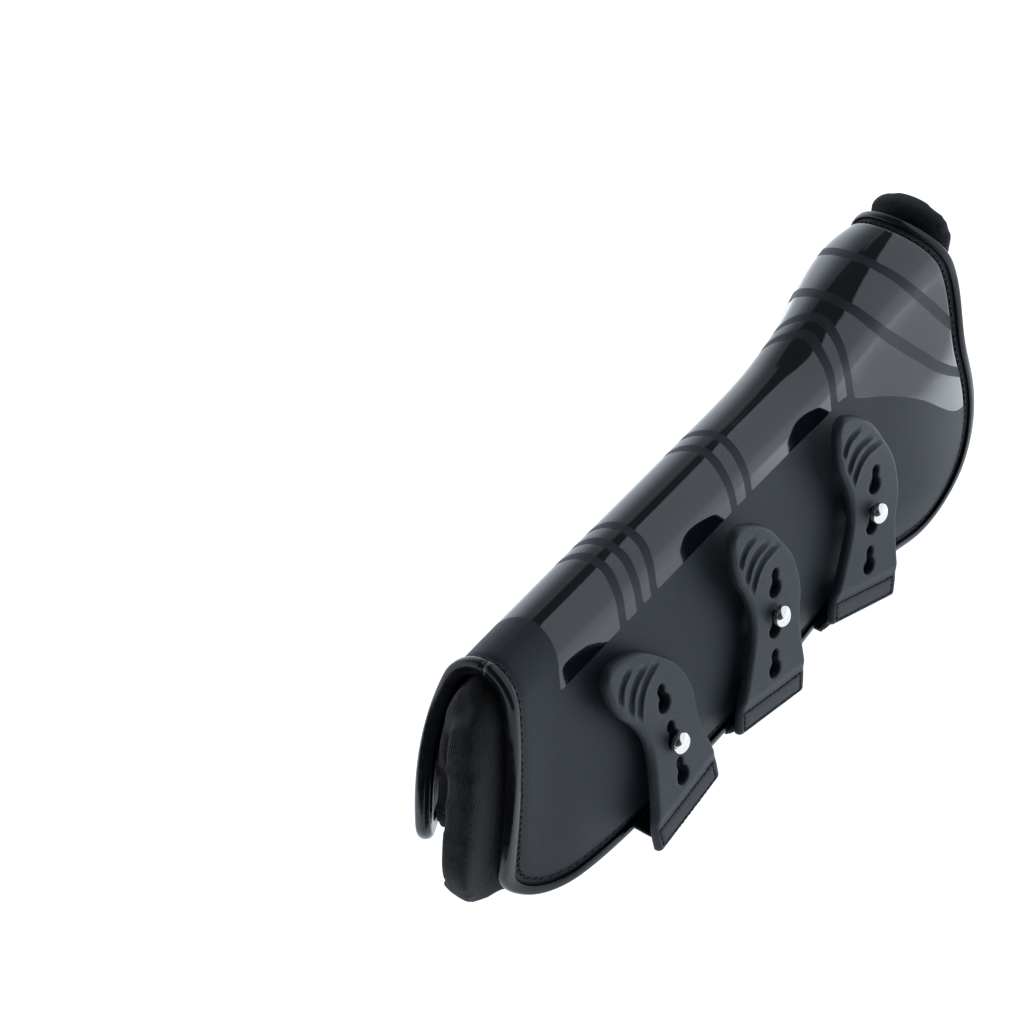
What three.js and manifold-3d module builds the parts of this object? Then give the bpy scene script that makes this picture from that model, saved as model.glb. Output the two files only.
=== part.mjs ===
// A horse's tendon boot: a moulded shell that wraps the back of the leg, a soft liner fixed inside it by
// hook-and-loop strips, and three rubber tabs on elastic straps that hook on studs across the open front.
// Millimetres. X runs along the leg from the narrow upper end to the wide fetlock end, Z is up through the
// spine, and the boot stands on its two long edges with its open front down and its tabs on the -Y side.
import * as THREE from "three";
import { mergeVertices } from "three/addons/utils/BufferGeometryUtils.js";
import Module from "manifold-3d";

const wasm = await Module();
wasm.setup();

// ---------- driving dimensions ----------
const CLEARANCE = 0.3; // between pieces that touch
const SHELL_THICKNESS = 2.4;
const SPINE_LENGTH = 290;

// The outer skin's cross-section at stations along the spine. top: height of the spine. crown: radius over it.
// foot: half width at the lower edge. hem: height of the lower edge. splay: slope of the wall there, in degrees
// from upright. lean: how far along X the lower edge lies from the spine.
const STATIONS = [
  { at: 0, top: 106, crown: 14.5, foot: 17, hem: -3, splay: -6, lean: -16 },
  { at: 12, top: 106, crown: 15.5, foot: 27, hem: -2, splay: 4, lean: -14 },
  { at: 30, top: 106, crown: 16.2, foot: 35, hem: 1.4, splay: 2, lean: -10 },
  { at: 60, top: 106.3, crown: 16.8, foot: 38.5, hem: 2.3, splay: -5, lean: -3 },
  { at: 150, top: 107.5, crown: 17.8, foot: 40, hem: 2.3, splay: -8, lean: 0 },
  { at: 197, top: 109.5, crown: 18.5, foot: 38.5, hem: 2.4, splay: -10, lean: 2 },
  { at: 226, top: 117, crown: 19.5, foot: 42, hem: 1.6, splay: -11, lean: 6 },
  { at: 250, top: 125, crown: 21, foot: 46, hem: -1.05, splay: -12, lean: 11 },
  { at: 272, top: 130, crown: 23, foot: 46, hem: -1.05, splay: -14, lean: 13.5 },
  { at: 290, top: 132, crown: 24.5, foot: 43, hem: -1.05, splay: -18, lean: 13.5 },
];
const FAR_BULGE = { height: 7, from: 225, share: 0.5 }; // the far end's rim stands out between spine and lobe
// The side away from the tabs stands out where the cannon shell widens, and is drawn in again at the rim.
const CAP_BULGE = { height: 5.6, from: 226, to: 300, share: 0.6, pull: 4, rim: 268 };
const CROWN_ARC = THREE.MathUtils.degToRad(74); // half angle of the round crown
// The corners of the edge: length along the spine, and share of the girth that they take off.
const NEAR_CORNER = { length: 26, share: 0.19 };
const FAR_CORNER = { length: 51, share: 0.43 };
const EDGE_STEPS = { near: 4, middle: 15, far: 9, end: 11 }; // the shell and its binding share these

const BINDING = { wall: 1, gap: 0.65, floor: 2.3, depth: 5.6, seam: 0.6 };

// The liner's faces lie this deep under the outer skin. near and far: how far its ends stand proud of the shell
// at the spine and at the lower edges (left is the +Y side, right the -Y side). hem: how far its lower edge is
// drawn in from the shell's, less at the near end.
const LINER = {
  outer: 5.5,
  inner: 13,
  near: { spine: 9, left: -3, right: 7 },
  far: { spine: 11, edge: -2, share: 0.45 },
  hem: 14,
  nearHem: 3,
};
const HOOK_LOOP = { from: 35, to: 195, upper: 26, width: 16, thickness: 1.1 };

const TAB = {
  thickness: 4.4,
  bevel: 0.8,
  keyholes: 3,
  pitch: 18, // between keyholes
  travel: 6.5, // from a keyhole's release hole to its lock hole
  releaseRadius: 4,
  lockRadius: 2.4,
  slotHalf: 2.1,
  foot: 57, // from the first release hole to the foot's edge
};
// A tab's edge round from its foot, seen from outside with the foot down. The tip leans to the upper left.
const TAB_EDGE = [
  [23.4, -55],
  [23.6, -46],
  [20.5, -31],
  [18.8, -20],
  [19.5, -7],
  [14.5, 8],
  [5.5, 19],
  [-4, 28],
  [-14, 33],
  [-24.5, 34.8],
  [-28.6, 29],
  [-25.5, 14.5],
  [-18.5, 3],
  [-14.6, -7],
  [-14.6, -18],
  [-18.8, -35],
  [-22.6, -46],
  [-23.4, -55],
];

// Where each tab's stud is riveted: along the spine, and as a share of the girth from spine to lower edge.
// rise: from the skin to the tab's back. tilt, turn, lean: the tab's rotation on its stud, in degrees.
const PLACES = [
  { at: 66.5, reach: 0.699, rise: 3.1, tilt: -2.6, turn: 5.8, lean: 1.1, locked: false, strapAt: 66 },
  { at: 135.5, reach: 0.623, rise: 5, tilt: 4, turn: -0.2, lean: -13.1, locked: true, strapAt: 128 },
  { at: 208.1, reach: 0.632, rise: 5.6, tilt: 1, turn: 2.5, lean: -16.3, locked: true, strapAt: 197.5 },
];
const STUD = { neckRadius: 1.6, headRadius: 4.6, headHeight: 4.2, neckFree: 1.8, tail: 4 };
const STUD_HOLE_RADIUS = STUD.neckRadius + CLEARANCE;
const WASHER = { radius: 5.5, height: 1.2 };
const CAP = { radius: 4.5, bottom: 5.1, floor: 0.8 };
const STRAP = { width: 36, thickness: 1.6, top: 26, end: 9.5, bendBelow: 3, bend: 8 };
const PATCH = { width: 40, top: 28, bottom: 15, thickness: 0.5 };

const COLOURS = {
  shell: { color: 0x23272e, roughness: 0.5 },
  binding: { color: 0x0b0c0f, roughness: 0.3 },
  liner: { color: 0x101114, roughness: 0.95 },
  rubber: { color: 0x262a31, roughness: 0.6 },
  elastic: { color: 0x121316, roughness: 0.9 },
  hookLoop: { color: 0x17181b, roughness: 1 },
  metal: { color: 0xc9ccd1, roughness: 0.2, metalness: 1 },
  nylon: { color: 0x1a1c20, roughness: 0.55 },
};

// ---------- the outer skin ----------
const FIELDS = ["top", "crown", "foot", "hem", "splay", "lean"];

function hermite(p0, m0, p1, m1, t) {
  const [t2, t3] = [t * t, t * t * t];
  return (2 * t3 - 3 * t2 + 1) * p0 + (t3 - 2 * t2 + t) * m0 + (3 * t2 - 2 * t3) * p1 + (t3 - t2) * m1;
}

// The cross-section at a place along the spine: each field on a smooth curve through the stations.
function sectionAt(at) {
  const last = STATIONS.length - 1;
  const held = THREE.MathUtils.clamp(at, 0, SPINE_LENGTH);
  const next = STATIONS.findIndex((station, k) => k > 0 && station.at >= held);
  const [a, b] = [STATIONS[next - 1], STATIONS[next]];
  const before = STATIONS[Math.max(next - 2, 0)];
  const after = STATIONS[Math.min(next + 1, last)];
  const span = b.at - a.at;
  const section = {};
  for (const field of FIELDS) {
    const slopeA = (b[field] - before[field]) / (b.at - before.at);
    const slopeB = (after[field] - a[field]) / (after.at - a.at);
    section[field] = hermite(a[field], slopeA * span, b[field], slopeB * span, (held - a.at) / span);
  }
  return section;
}

// A section's wall, from the end of the round crown to the lower edge. Down is measured from the spine.
function wallOf({ crown, foot, top, hem }) {
  const startY = crown * Math.sin(CROWN_ARC);
  const startDown = crown * (1 - Math.cos(CROWN_ARC));
  const height = top - hem;
  return { startY, startDown, height, chord: Math.hypot(foot - startY, height - startDown) };
}

function girthAt(at) {
  const section = sectionAt(at);
  return section.crown * CROWN_ARC + wallOf(section).chord;
}

// reach: signed share of the girth, 0 on the spine, 1 at the lower edge of the -Y side, -1 on the +Y side.
function skinPoint(at, reach) {
  const section = sectionAt(at);
  const { startY, startDown, height, chord } = wallOf(section);
  const crownLength = section.crown * CROWN_ARC;
  const arc = Math.abs(reach) * (crownLength + chord);
  let y = section.crown * Math.sin(arc / section.crown);
  let down = section.crown * (1 - Math.cos(arc / section.crown));
  if (arc > crownLength) {
    const t = (arc - crownLength) / chord;
    const splay = THREE.MathUtils.degToRad(section.splay);
    y = hermite(startY, Math.cos(CROWN_ARC) * chord, section.foot, Math.sin(splay) * chord, t);
    down = hermite(startDown, Math.sin(CROWN_ARC) * chord, height, Math.cos(splay) * chord, t);
  }
  if (reach < 0) {
    const along = THREE.MathUtils.clamp((at - CAP_BULGE.from) / (CAP_BULGE.to - CAP_BULGE.from), 0, 1);
    const round = Math.min(-reach / CAP_BULGE.share, 1);
    const pull = CAP_BULGE.pull * THREE.MathUtils.smoothstep(at, CAP_BULGE.rim, 294);
    y += (CAP_BULGE.height * Math.sin(Math.PI * along) ** 2 - pull) * Math.sin(Math.PI * round) ** 2;
  }
  const share = down / height;
  const bulge = FAR_BULGE.height * THREE.MathUtils.smoothstep(at, FAR_BULGE.from, SPINE_LENGTH);
  const hump = Math.sin(Math.PI * Math.min(Math.abs(reach) / FAR_BULGE.share, 1)) ** 2;
  const x = at + section.lean * share * (2 - share) + bulge * hump;
  return new THREE.Vector3(x, -Math.sign(reach) * y, section.top - down);
}

function skinNormal(at, reach) {
  const step = 0.5;
  const small = step / girthAt(at);
  const along = skinPoint(at + step, reach).sub(skinPoint(at - step, reach));
  const down = skinPoint(at, reach + small).sub(skinPoint(at, reach - small));
  return down.cross(along).normalize();
}

function skin(at, reach, depth) {
  return skinPoint(at, reach).addScaledVector(skinNormal(at, reach), -depth);
}

// ---------- the edge ----------
// One side of the outline, drawn in by inset, as places [at, reach] from its near end to its far end.
function sideEdge(inset, nearSteps, middleSteps, farSteps) {
  const places = [];
  const add = (at, corner, share) => {
    const drawnIn = inset / girthAt(at);
    places.push([at, 1 - drawnIn - (share - drawnIn) * corner]);
  };
  for (let k = 0; k < nearSteps; k++) {
    const angle = (Math.PI / 2) * (k / nearSteps);
    const at = NEAR_CORNER.length - (NEAR_CORNER.length - inset) * Math.cos(angle);
    add(at, 1 - Math.sin(angle), NEAR_CORNER.share);
  }
  const farStart = SPINE_LENGTH - FAR_CORNER.length;
  for (let k = 0; k < middleSteps; k++) {
    add(THREE.MathUtils.lerp(NEAR_CORNER.length, farStart, k / middleSteps), 0, 0);
  }
  for (let k = 0; k <= farSteps; k++) {
    const angle = (Math.PI / 2) * (k / farSteps);
    add(farStart + (FAR_CORNER.length - inset) * Math.sin(angle), 1 - Math.cos(angle), FAR_CORNER.share);
  }
  return places;
}

// The whole outline from the near end's spine round the -Y side, the far end and the +Y side, and back.
function wholeEdge(inset) {
  const steps = EDGE_STEPS;
  const side = sideEdge(inset, steps.near, steps.middle, steps.far);
  const [near, far] = [side[0], side[side.length - 1]];
  const start = BINDING.seam / 2 / girthAt(0);
  const half = [];
  for (let k = 0; k < steps.end; k++) half.push([near[0], Math.max(start, (near[1] * k) / steps.end)]);
  half.push(...side);
  for (let k = steps.end - 1; k >= 0; k--) half.push([far[0], (far[1] * k) / steps.end]);
  const back = half.slice(0, -1).reverse();
  return [...half, ...back.map(([at, reach]) => [at, -reach])];
}

// ---------- solids ----------
function toManifold(geometry) {
  const plain = geometry.clone();
  plain.deleteAttribute("normal");
  plain.deleteAttribute("uv");
  const merged = mergeVertices(plain, 1e-4);
  const mesh = new wasm.Mesh({
    numProp: 3,
    vertProperties: new Float32Array(merged.attributes.position.array),
    triVerts: new Uint32Array(merged.index.array),
  });
  return new wasm.Manifold(mesh);
}

function fromManifold(body) {
  const mesh = body.getMesh();
  const geometry = new THREE.BufferGeometry();
  geometry.setAttribute("position", new THREE.BufferAttribute(new Float32Array(mesh.vertProperties), 3));
  geometry.setIndex(new THREE.BufferAttribute(new Uint32Array(mesh.triVerts), 1));
  geometry.computeVertexNormals();
  return geometry;
}

// A closed body from points and four-sided faces. Its faces are turned round if they point inwards.
function bodyOf(points, quads, triangles = []) {
  const index = [...triangles];
  for (const [a, b, c, d] of quads) index.push(a, b, c, a, c, d);
  const geometry = new THREE.BufferGeometry().setFromPoints(points);
  geometry.setIndex(index);
  if (toManifold(geometry).volume() < 0) geometry.setIndex(index.reverse());
  geometry.computeVertexNormals();
  return geometry;
}

// A closed sheet between two grids of points, upper(i, j) and lower(i, j), with walls round its four sides.
function sheet(rows, columns, upper, lower) {
  const points = [];
  for (const face of [upper, lower]) {
    for (let i = 0; i <= rows; i++) {
      for (let j = 0; j <= columns; j++) points.push(face(i, j));
    }
  }
  const id = (face, i, j) => (face * (rows + 1) + i) * (columns + 1) + j;
  const quads = [];
  for (let i = 0; i < rows; i++) {
    for (let j = 0; j < columns; j++) {
      quads.push([id(0, i, j), id(0, i, j + 1), id(0, i + 1, j + 1), id(0, i + 1, j)]);
      quads.push([id(1, i, j), id(1, i + 1, j), id(1, i + 1, j + 1), id(1, i, j + 1)]);
    }
    quads.push([id(0, i, 0), id(0, i + 1, 0), id(1, i + 1, 0), id(1, i, 0)]);
    quads.push([id(0, i + 1, columns), id(0, i, columns), id(1, i, columns), id(1, i + 1, columns)]);
  }
  for (let j = 0; j < columns; j++) {
    quads.push([id(0, 0, j + 1), id(0, 0, j), id(1, 0, j), id(1, 0, j + 1)]);
    quads.push([id(0, rows, j), id(0, rows, j + 1), id(1, rows, j + 1), id(1, rows, j)]);
  }
  return bodyOf(points, quads);
}

// A closed bar through rings of points that all follow one section, with flat ends.
function bar(rings, section) {
  const size = section.length;
  const quads = [];
  for (let k = 0; k + 1 < rings.length; k++) {
    for (let j = 0; j < size; j++) {
      const next = (j + 1) % size;
      quads.push([k * size + j, k * size + next, (k + 1) * size + next, (k + 1) * size + j]);
    }
  }
  const last = (rings.length - 1) * size;
  const corners = section.map(([a, b]) => new THREE.Vector2(a, b));
  const faces = THREE.ShapeUtils.triangulateShape(corners, []);
  const ends = faces.flatMap(([a, b, c]) => [a, b, c, last + c, last + b, last + a]);
  return bodyOf(rings.flat(), quads, ends);
}

// A turned body: profile points [radius, height], listed up the outside.
function turned(profile, segments = 20) {
  const points = profile.map(([radius, height]) => new THREE.Vector2(radius, height));
  return new THREE.LatheGeometry(points, segments).rotateX(Math.PI / 2);
}

const boot = new THREE.Group();

function add(name, geometry, look, matrix) {
  if (matrix) geometry.applyMatrix4(matrix);
  const mesh = new THREE.Mesh(geometry, new THREE.MeshStandardMaterial(COLOURS[look]));
  mesh.name = name;
  boot.add(mesh);
}

// ---------- frames ----------
// On the skin: x across, y up the wall, z out of it.
function wallFrame({ at, reach }) {
  const out = skinNormal(at, reach);
  const up = new THREE.Vector3(0, 0, 1).projectOnPlane(out).normalize();
  const across = new THREE.Vector3().crossVectors(up, out);
  return new THREE.Matrix4().makeBasis(across, up, out).setPosition(skinPoint(at, reach));
}

const studHole = (place) => [0, -TAB.pitch + (place.locked ? TAB.travel : 0)];

// On a tab: x across, y up it, z out of it, with the first release hole at 0 and the outer face at z = 0.
function tabFrame(place) {
  const turns = [place.tilt, place.turn, place.lean].map(THREE.MathUtils.degToRad);
  const [holeX, holeY] = studHole(place);
  return wallFrame(place)
    .multiply(new THREE.Matrix4().makeTranslation(0, 0, place.rise + TAB.thickness / 2))
    .multiply(new THREE.Matrix4().makeRotationFromEuler(new THREE.Euler(...turns, "XYZ")))
    .multiply(new THREE.Matrix4().makeTranslation(-holeX, -holeY, TAB.thickness / 2));
}

// ---------- shell, binding, liner ----------
function shellBody() {
  const rows = sideEdge(BINDING.floor + CLEARANCE, EDGE_STEPS.near, EDGE_STEPS.middle, EDGE_STEPS.far);
  const columns = 2 * EDGE_STEPS.end;
  const point = (depth) => (i, j) => skin(rows[i][0], rows[i][1] * ((2 * j) / columns - 1), depth);
  let body = toManifold(sheet(rows.length - 1, columns, point(0), point(SHELL_THICKNESS)));
  for (const place of PLACES) {
    const drill = new THREE.CylinderGeometry(STUD_HOLE_RADIUS, STUD_HOLE_RADIUS, 12, 20).rotateX(Math.PI / 2);
    body = body.subtract(toManifold(drill.applyMatrix4(wallFrame(place))));
  }
  return fromManifold(body);
}

// A channel folded over the shell's edge: [inset, depth] round its section.
function bindingBody() {
  const { wall, gap, floor, depth } = BINDING;
  const outer = -gap - wall;
  const inner = SHELL_THICKNESS + gap + wall;
  const section = [
    [depth, outer],
    [1.1, outer],
    [0.3, outer + 0.6],
    [0, outer + 1.7],
    [0, inner - 1.7],
    [0.3, inner - 0.6],
    [1.1, inner],
    [depth, inner],
    [depth, inner - wall],
    [floor, inner - wall],
    [floor, outer + wall],
    [depth, outer + wall],
  ];
  const edges = section.map(([inset]) => wholeEdge(inset));
  const rings = edges[0].map((_, k) => section.map(([, deep], j) => skin(...edges[j][k], deep)));
  return bar(rings, section);
}

function linerBody() {
  const rows = sideEdge(0, 3, 13, 6);
  const columns = 18;
  const { near, far } = LINER;
  const place = (i, j) => {
    const [at, whole] = rows[i];
    const hem = LINER.nearHem + (LINER.hem - LINER.nearHem) * THREE.MathUtils.smoothstep(at, 5, 38);
    const reach = (whole - hem / girthAt(at)) * ((2 * j) / columns - 1);
    const share = at / SPINE_LENGTH;
    const nearEdge = reach < 0 ? near.left : near.right;
    const nearProud = THREE.MathUtils.lerp(near.spine, nearEdge, Math.abs(reach));
    const farProud = THREE.MathUtils.lerp(far.spine, far.edge, Math.min(Math.abs(reach) / far.share, 1));
    return [at - nearProud * (1 - share) ** 3 + farProud * share ** 3, reach];
  };
  const face = (depth) => (i, j) => skin(...place(i, j), depth);
  return sheet(rows.length - 1, columns, face(LINER.outer), face(LINER.inner));
}

// A flat patch on the skin between two places along the spine and two arcs from the spine, on one side.
function patch(side, from, to, upper, lower, depth, thickness, rows, columns) {
  const face = (deep) => (i, j) => {
    const at = THREE.MathUtils.lerp(from, to, i / rows);
    const arc = THREE.MathUtils.lerp(upper, lower, j / columns);
    return skin(at, (side * arc) / girthAt(at), deep);
  };
  return sheet(rows, columns, face(depth), face(depth + thickness));
}

add("shell", shellBody(), "shell");
add("edge_binding", bindingBody(), "binding");
add("liner", linerBody(), "liner");

for (const [name, side] of [["left", -1], ["right", 1]]) {
  const { from, to, upper, width, thickness } = HOOK_LOOP;
  const strip = (depth) => patch(side, from, to, upper, upper + width, depth, thickness, 10, 3);
  add(`hook_strip_${name}`, strip(SHELL_THICKNESS + CLEARANCE), "hookLoop");
  add(`loop_strip_${name}`, strip(LINER.outer - CLEARANCE - thickness), "hookLoop");
}

// ---------- tabs ----------
function keyhole(y) {
  const { releaseRadius, lockRadius, slotHalf, travel } = TAB;
  const low = Math.asin(slotHalf / releaseRadius);
  const high = Math.asin(slotHalf / lockRadius);
  const path = new THREE.Path();
  path.absarc(0, y, releaseRadius, Math.PI / 2 + low, Math.PI * 2.5 - low, false);
  path.absarc(0, y + travel, lockRadius, -Math.PI / 2 + high, Math.PI * 1.5 - high, false);
  path.closePath();
  return path;
}

function tabBody() {
  const points = TAB_EDGE.map(([x, y]) => new THREE.Vector2(x, y));
  const shape = new THREE.Shape();
  shape.moveTo(points[0].x, points[0].y);
  shape.splineThru(points.slice(1));
  shape.quadraticCurveTo(-23.3, -TAB.foot, -20.5, -TAB.foot);
  shape.lineTo(20.5, -TAB.foot);
  shape.quadraticCurveTo(23.3, -TAB.foot, points[0].x, points[0].y);
  for (let k = 0; k < TAB.keyholes; k++) shape.holes.push(keyhole(-k * TAB.pitch));
  const body = new THREE.ExtrudeGeometry(shape, {
    depth: TAB.thickness - 2 * TAB.bevel,
    bevelThickness: TAB.bevel,
    bevelSize: TAB.bevel,
    bevelOffset: -TAB.bevel,
    bevelSegments: 1,
    curveSegments: 3,
  });
  return fromManifold(toManifold(body.translate(0, 0, TAB.bevel - TAB.thickness)));
}

// ---------- studs ----------
function studBody(height) {
  const { neckRadius, headRadius, headHeight, tail } = STUD;
  const top = height + headHeight;
  return turned([
    [0, -tail],
    [neckRadius, -tail],
    [neckRadius, height],
    [headRadius - 0.5, height],
    [headRadius, height + 0.6],
    [headRadius, height + 1.4],
    [headRadius * 0.88, top - 1.4],
    [headRadius * 0.55, top - 0.4],
    [0, top],
  ]);
}

function washerBody() {
  const bottom = CLEARANCE;
  const top = bottom + WASHER.height;
  return turned([
    [STUD_HOLE_RADIUS, bottom],
    [WASHER.radius, bottom],
    [WASHER.radius, top - 0.4],
    [WASHER.radius - 0.4, top],
    [STUD_HOLE_RADIUS, top],
    [STUD_HOLE_RADIUS, bottom],
  ]);
}

function capBody() {
  const top = -SHELL_THICKNESS - CLEARANCE;
  const bottom = -CAP.bottom;
  return turned([
    [0, bottom],
    [CAP.radius - 0.4, bottom],
    [CAP.radius, bottom + 0.4],
    [CAP.radius, top],
    [STUD_HOLE_RADIUS, top],
    [STUD_HOLE_RADIUS, bottom + CAP.floor],
    [0, bottom + CAP.floor],
  ]);
}

// ---------- straps ----------
function curve(from, fromWay, to, toWay, t) {
  const point = new THREE.Vector3();
  for (const axis of ["x", "y", "z"]) {
    point[axis] = hermite(from[axis], fromWay[axis], to[axis], toWay[axis], t);
  }
  return point;
}

// A strap's middle surface at share w (-1 to 1) of its half width: down the inside of the +Y wall, flat along
// the ground under the -Y wall's edge, and up behind the tab's foot.
function strapLine(place, w) {
  const across = (w * STRAP.width) / 2;
  const at = place.strapAt + across;
  const girth = girthAt(at);
  const sewnDepth = SHELL_THICKNESS + CLEARANCE + STRAP.thickness / 2;
  const besideBinding = sewnDepth + BINDING.gap + BINDING.wall;
  const onWall = (up, depth) => skin(at, -(1 - up / girth), depth);
  const line = [26, 21, 16, 11].map((up) => onWall(up, sewnDepth));
  line.push(onWall(6.5, besideBinding), onWall(4, besideBinding));

  const ground = STRAP.thickness / 2;
  const wallFoot = line[line.length - 1];
  const frame = tabFrame(place);
  const behind = -TAB.thickness - CLEARANCE - STRAP.thickness / 2;
  const onTab = (up) => new THREE.Vector3(across, -TAB.foot + up, behind).applyMatrix4(frame);
  const [tabFoot, tabUp] = [onTab(STRAP.bendBelow), onTab(STRAP.bendBelow + 1)];
  const middle = new THREE.Vector3(0, -TAB.foot + STRAP.bendBelow, behind).applyMatrix4(frame);

  const landing = new THREE.Vector3(wallFoot.x, wallFoot.y - STRAP.bend, ground);
  const leaving = new THREE.Vector3(tabFoot.x, middle.y + STRAP.bend, ground);
  const down = wallFoot.clone().sub(line[line.length - 2]).setLength(STRAP.bend);
  const outward = new THREE.Vector3(0, -STRAP.bend * 1.3, 0);
  const upward = tabUp.sub(tabFoot).setLength(STRAP.bend * 0.8);
  for (let k = 1; k <= 5; k++) line.push(curve(wallFoot, down, landing, outward, k / 5));
  for (let k = 1; k <= 4; k++) line.push(landing.clone().lerp(leaving, k / 4));
  for (let k = 1; k <= 7; k++) line.push(curve(leaving, outward, tabFoot, upward, k / 7));
  line.push(onTab((STRAP.bendBelow + STRAP.end) / 2), onTab(STRAP.end));
  return line;
}

function strapBody(place) {
  const columns = 6;
  const lines = [];
  for (let j = 0; j <= columns; j++) lines.push(strapLine(place, (2 * j) / columns - 1));
  const rows = lines[0].length - 1;
  const normal = (i, j) => {
    const [up, down] = [lines[j][Math.max(i - 1, 0)], lines[j][Math.min(i + 1, rows)]];
    const [left, right] = [lines[Math.max(j - 1, 0)][i], lines[Math.min(j + 1, columns)][i]];
    return new THREE.Vector3().crossVectors(down.clone().sub(up), right.clone().sub(left)).normalize();
  };
  const face = (offset) => (i, j) => lines[j][i].clone().addScaledVector(normal(i, j), offset);
  return sheet(rows, columns, face(STRAP.thickness / 2), face(-STRAP.thickness / 2));
}

PLACES.forEach((place, k) => {
  const number = k + 1;
  const wall = wallFrame(place);
  const neck = place.rise + TAB.thickness + STUD.neckFree;
  add(`tab_${number}`, tabBody(), "rubber", tabFrame(place));
  add(`strap_${number}`, strapBody(place), "elastic");
  add(`stud_${number}`, studBody(neck), "metal", wall);
  add(`stud_washer_${number}`, washerBody(), "nylon", wall);
  add(`stud_cap_${number}`, capBody(), "metal", wall);
  const [from, to] = [-1, 1].map((end) => place.strapAt + (end * PATCH.width) / 2);
  const girth = girthAt(place.strapAt);
  const depth = SHELL_THICKNESS + STRAP.thickness + 2 * CLEARANCE;
  const sewn = patch(-1, from, to, girth - PATCH.top, girth - PATCH.bottom, depth, PATCH.thickness, 4, 2);
  add(`strap_anchor_${number}`, sewn, "elastic");
});

// The part's origin is the middle of the bottom of its box.
const box = new THREE.Box3().setFromObject(boot, true);
const middle = box.getCenter(new THREE.Vector3());
boot.position.set(-middle.x, -middle.y, -box.min.z);
const part = new THREE.Group();
part.add(boot);

export default part;
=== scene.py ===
import math

import bmesh
import bpy
import numpy as np
from mathutils import Matrix, Vector, geometry, kdtree


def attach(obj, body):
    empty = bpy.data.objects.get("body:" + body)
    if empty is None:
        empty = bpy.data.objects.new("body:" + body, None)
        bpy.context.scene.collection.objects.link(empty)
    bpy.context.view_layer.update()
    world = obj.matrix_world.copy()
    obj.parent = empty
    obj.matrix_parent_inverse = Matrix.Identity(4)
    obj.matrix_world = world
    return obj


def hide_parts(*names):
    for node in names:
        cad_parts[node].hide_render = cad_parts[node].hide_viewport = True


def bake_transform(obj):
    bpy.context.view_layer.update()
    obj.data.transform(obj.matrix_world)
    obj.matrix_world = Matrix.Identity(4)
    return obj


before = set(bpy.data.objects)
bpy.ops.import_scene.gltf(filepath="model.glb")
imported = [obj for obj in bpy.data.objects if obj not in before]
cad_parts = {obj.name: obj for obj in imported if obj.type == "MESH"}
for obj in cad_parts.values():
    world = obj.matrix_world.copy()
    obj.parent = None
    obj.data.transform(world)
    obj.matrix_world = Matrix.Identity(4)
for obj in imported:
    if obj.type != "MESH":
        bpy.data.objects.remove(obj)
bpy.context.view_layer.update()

# A horse's tendon boot: moulded shell, bound edge, padded liner, and three rubber tabs on elastic straps.
# The shapes are worked out in millimetres on the same skin as the CAD part, then put in the frame in metres.
MM = 0.001
ORIGIN = np.array([-141.180, 4.059, 0.034])  # from the skin's own axes to the part's frame
RANDOM = np.random.default_rng(7)

# ---------- driving dimensions, as in the CAD part ----------
SHELL_THICKNESS = 2.4
CLEARANCE = 0.3
SPINE_LENGTH = 290.0
CROWN_ARC = math.radians(74)
# at, top, crown, foot, hem, splay, lean
STATIONS = np.array([
    (0, 106, 14.5, 17, -3, -6, -16),
    (12, 106, 15.5, 27, -2, 4, -14),
    (30, 106, 16.2, 35, 1.4, 2, -10),
    (60, 106.3, 16.8, 38.5, 2.3, -5, -3),
    (150, 107.5, 17.8, 40, 2.3, -8, 0),
    (197, 109.5, 18.5, 38.5, 2.4, -10, 2),
    (226, 117, 19.5, 42, 1.6, -11, 6),
    (250, 125, 21, 46, -1.05, -12, 11),
    (272, 130, 23, 46, -1.05, -14, 13.5),
    (290, 132, 24.5, 43, -1.05, -18, 13.5),
], float)
CAP_BULGE = {"height": 5.6, "from": 226, "to": 300, "share": 0.6, "pull": 4, "rim": 268, "rim_end": 294}
FAR_BULGE = {"height": 7, "from": 225, "share": 0.5}
NEAR_CORNER = {"length": 26, "share": 0.19}
FAR_CORNER = {"length": 51, "share": 0.43}
TAB = {"thickness": 4.4, "pitch": 18, "travel": 6.5, "release": 4, "lock": 2.4, "slot": 2.1, "foot": 57}
TAB_EDGE = [
    (23.4, -55), (23.6, -46), (20.5, -31), (18.8, -20), (19.5, -7), (14.5, 8), (5.5, 19), (-4, 28), (-14, 33),
    (-24.5, 34.8), (-28.6, 29), (-25.5, 14.5), (-18.5, 3), (-14.6, -7), (-14.6, -18), (-18.8, -35),
    (-22.6, -46), (-23.4, -55),
]
PLACES = [
    dict(zip(("at", "reach", "rise", "tilt", "turn", "lean", "locked", "strap"), row)) for row in (
        (66.5, 0.699, 3.1, -2.6, 5.8, 1.1, False, 66),
        (135.5, 0.623, 5, 4, -0.2, -13.1, True, 128),
        (208.1, 0.632, 5.6, 1, 2.5, -16.3, True, 197.5),
    )
]
STUD = {"neck": 1.6, "head": 4.6, "height": 4.2, "free": 1.8, "tail": 4}
STRAP = {"width": 36, "thickness": 1.6, "end": 9.5, "bend_below": 3, "bend": 8}
ANCHOR = {"half": 20, "upper": 28, "lower": 15, "thickness": 0.5}
LINER = {"outer": 5.5, "inner": 13, "hem": 14, "near_hem": 3}
LINER_NEAR = {"spine": 8, "left": -2, "right": 15, "corner": 5, "lobe": 0.085, "thick": 7.5, "reach": 55}
LINER_FAR = {"spine": 17.5, "edge": -2, "share": 0.36, "rise": 11, "from": 290.6, "to": 296, "arc": 42}
HOOK_LOOP = {"from": 35, "to": 195, "upper": 26, "width": 16, "thickness": 1.1}


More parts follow.
